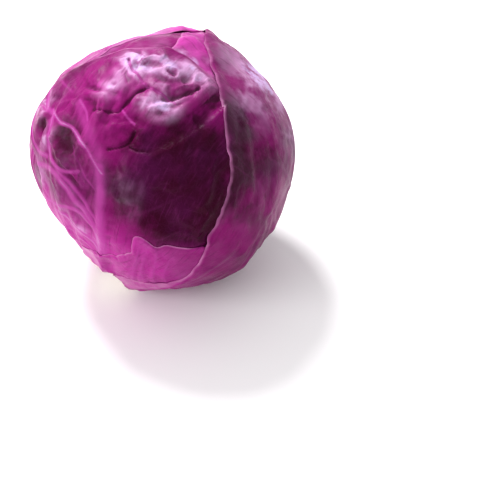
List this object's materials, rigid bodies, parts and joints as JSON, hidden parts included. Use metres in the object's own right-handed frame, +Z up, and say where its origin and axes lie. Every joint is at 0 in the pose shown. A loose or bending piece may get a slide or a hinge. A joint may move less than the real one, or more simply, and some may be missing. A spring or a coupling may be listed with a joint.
{
  "type": "red cabbage head",
  "caption": "Whole red cabbage head lying on a small flat spot, with wrapper leaves draped over a packed heart on a cut stem.",
  "frame": {"origin": "centre of the small flat spot that the head rests on", "axes": "+Z up from that spot; -Z is the spot's outward normal; the cut stem leans down towards -X and -Y"},
  "size_m": [0.1595, 0.161, 0.1553],
  "materials": {
    "wrapper_leaf": "waxy purple cabbage leaf with pale raised veins, satin sheen",
    "heart_leaf": "smooth crisp purple cabbage leaf",
    "core_flesh": "pale moist cut stem flesh, matte"
  },
  "bodies": {
    "root": {"core": "core_flesh", "heart_bud": "heart_leaf", "heart_leaf_01": "heart_leaf", "heart_leaf_02": "heart_leaf", "heart_leaf_03": "heart_leaf", "heart_leaf_04": "heart_leaf", "heart_leaf_05": "heart_leaf", "heart_leaf_06": "heart_leaf", "heart_leaf_07": "heart_leaf", "heart_leaf_08": "heart_leaf", "heart_leaf_09": "heart_leaf", "heart_leaf_10": "heart_leaf", "heart_leaf_11": "heart_leaf", "heart_leaf_12": "heart_leaf", "heart_leaf_13": "heart_leaf", "heart_leaf_14": "heart_leaf", "heart_leaf_15": "heart_leaf", "heart_leaf_16": "heart_leaf", "heart_leaf_17": "heart_leaf", "heart_leaf_18": "heart_leaf", "heart_leaf_19": "heart_leaf", "heart_leaf_20": "heart_leaf", "wrapper_leaf_01": "wrapper_leaf", "wrapper_leaf_02": "wrapper_leaf", "wrapper_leaf_03": "wrapper_leaf", "wrapper_leaf_04": "wrapper_leaf", "wrapper_leaf_05": "wrapper_leaf", "wrapper_leaf_06": "wrapper_leaf", "wrapper_leaf_07": "wrapper_leaf", "wrapper_leaf_08": "wrapper_leaf", "wrapper_leaf_09": "wrapper_leaf"}
  },
  "joints": []
}
